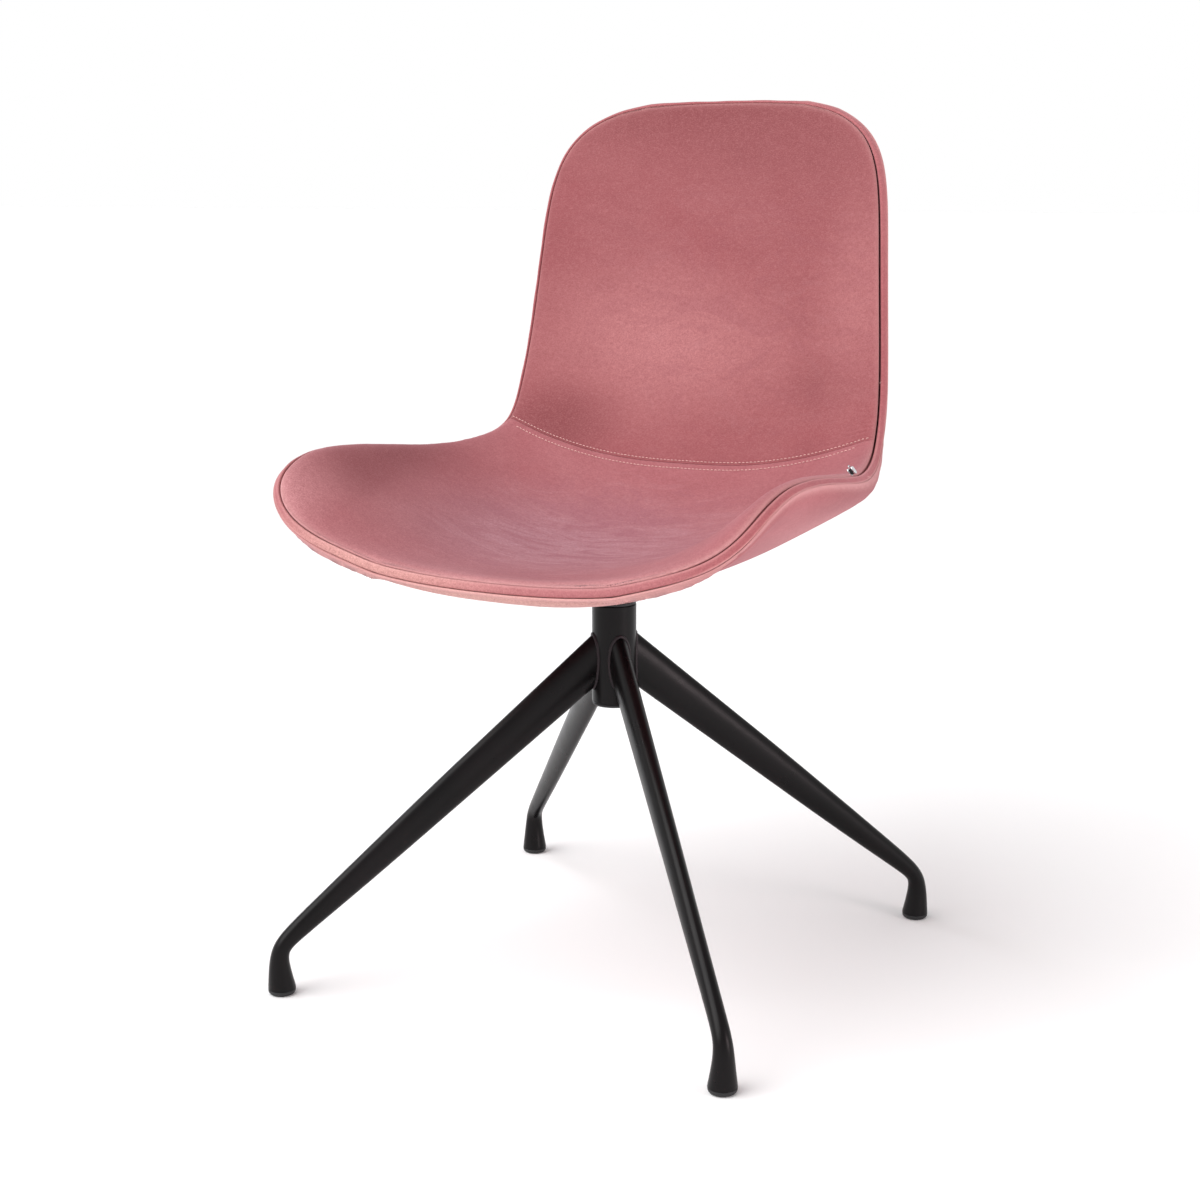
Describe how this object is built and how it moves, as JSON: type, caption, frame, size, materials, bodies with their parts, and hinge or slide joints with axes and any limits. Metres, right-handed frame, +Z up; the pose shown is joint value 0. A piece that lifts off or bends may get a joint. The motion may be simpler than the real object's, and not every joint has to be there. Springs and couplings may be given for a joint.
{
  "type": "styling chair",
  "caption": "Armless upholstered bucket chair in pink velvet that swivels on a black four-leg pyramid base.",
  "frame": {"origin": "on the floor under the swivel axis, at the middle of the four feet", "axes": "+Z up along the swivel axis, the sitter faces -Y, +X is at the sitter's left"},
  "size_m": [0.5052, 0.5031, 0.8252],
  "materials": {
    "velvet": "matte velvet pile",
    "foam": "open-cell foam",
    "plywood": "moulded, uncoated",
    "coated_steel": "satin black powder coat",
    "black_plastic": "matte",
    "nylon": "natural nylon",
    "steel": "zinc plated"
  },
  "bodies": {
    "base": {"hub_tube": "coated_steel", "hub_end_cap": "black_plastic", "leg_front_left": "coated_steel", "leg_rear_left": "coated_steel", "leg_rear_right": "coated_steel", "leg_front_right": "coated_steel", "glide_front_left": "black_plastic", "glide_rear_left": "black_plastic", "glide_rear_right": "black_plastic", "glide_front_right": "black_plastic", "upper_bush": "black_plastic", "lower_bush": "nylon", "thrust_washer": "nylon"},
    "seat": {"wear_washer": "steel", "spindle": "steel", "retaining_clip": "steel", "retaining_washer": "steel", "mounting_plate": "coated_steel", "plate_bolt_1": "steel", "plate_bolt_2": "steel", "plate_bolt_3": "steel", "plate_bolt_4": "steel", "spacer_bush_1": "black_plastic", "spacer_bush_2": "black_plastic", "spacer_bush_3": "black_plastic", "spacer_bush_4": "black_plastic", "threaded_insert_1": "steel", "threaded_insert_2": "steel", "threaded_insert_3": "steel", "threaded_insert_4": "steel", "moulded_shell": "plywood", "seat_pad": "foam", "back_pad": "foam", "seat_front_cover": "velvet", "back_front_cover": "velvet", "rear_cover": "velvet", "front_under_strip": "velvet", "edge_band": "velvet", "zip_slider": "steel"}
  },
  "joints": [
    {"name": "seat_swivel", "type": "hinge", "parent": "base", "child": "seat", "pos_m": [0, 0, 0.36], "axis": [0, 0, 1], "continuous": true}
  ]
}
